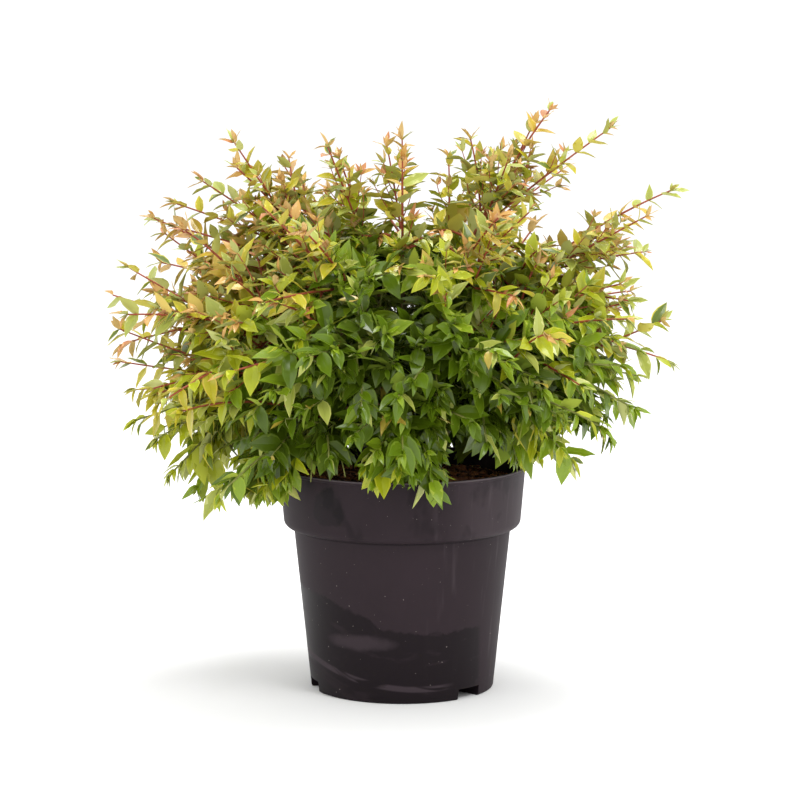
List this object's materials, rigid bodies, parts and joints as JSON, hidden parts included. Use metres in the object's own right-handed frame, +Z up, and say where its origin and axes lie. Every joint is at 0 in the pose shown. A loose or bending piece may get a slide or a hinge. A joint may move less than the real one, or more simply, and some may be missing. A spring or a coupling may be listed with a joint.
{
  "type": "potted glossy abelia shrub",
  "caption": "Low, spreading shrub of arching twigs with opposite pointed leaves, growing in a round tapered plastic nursery pot with a deep rim band.",
  "frame": {"origin": "centre of the pot's flat underside", "axes": "+Z up along the pot's axis, the pictured front faces -Y, +X to the right of it"},
  "size_m": [0.5223, 0.4359, 0.5439],
  "materials": {
    "pot": "satin near-black plastic, faintly purple-brown",
    "soil": "rough red-brown peat and bark",
    "bark": "rough, fine flaking bark",
    "foliage_skirt": "glossy mid to deep green leaves",
    "foliage_middle": "glossy green and lime leaves",
    "foliage_upper": "glossy yellow-green leaves",
    "foliage_top": "glossy gold leaves with bronze tips"
  },
  "bodies": {
    "root": {"pot": "pot", "soil": "soil", "stem": "bark", "bough_skirt_1": "bark", "foliage_skirt_1": "foliage_skirt", "bough_skirt_2": "bark", "foliage_skirt_2": "foliage_skirt", "bough_skirt_3": "bark", "foliage_skirt_3": "foliage_skirt", "bough_skirt_4": "bark", "foliage_skirt_4": "foliage_skirt", "bough_skirt_5": "bark", "foliage_skirt_5": "foliage_skirt", "bough_skirt_6": "bark", "foliage_skirt_6": "foliage_skirt", "bough_skirt_7": "bark", "foliage_skirt_7": "foliage_skirt", "bough_skirt_8": "bark", "foliage_skirt_8": "foliage_skirt", "bough_middle_1": "bark", "foliage_middle_1": "foliage_middle", "bough_middle_2": "bark", "foliage_middle_2": "foliage_middle", "bough_middle_3": "bark", "foliage_middle_3": "foliage_middle", "bough_middle_4": "bark", "foliage_middle_4": "foliage_middle", "bough_middle_5": "bark", "foliage_middle_5": "foliage_middle", "bough_middle_6": "bark", "foliage_middle_6": "foliage_middle", "bough_middle_7": "bark", "foliage_middle_7": "foliage_middle", "bough_middle_8": "bark", "foliage_middle_8": "foliage_middle", "bough_upper_1": "bark", "foliage_upper_1": "foliage_upper", "bough_upper_2": "bark", "foliage_upper_2": "foliage_upper", "bough_upper_3": "bark", "foliage_upper_3": "foliage_upper", "bough_upper_4": "bark", "foliage_upper_4": "foliage_upper", "bough_upper_5": "bark", "foliage_upper_5": "foliage_upper", "bough_upper_6": "bark", "foliage_upper_6": "foliage_upper", "bough_top_1": "bark", "foliage_top_1": "foliage_top", "bough_top_2": "bark", "foliage_top_2": "foliage_top", "bough_top_3": "bark", "foliage_top_3": "foliage_top", "bough_top_4": "bark", "foliage_top_4": "foliage_top"}
  },
  "joints": []
}
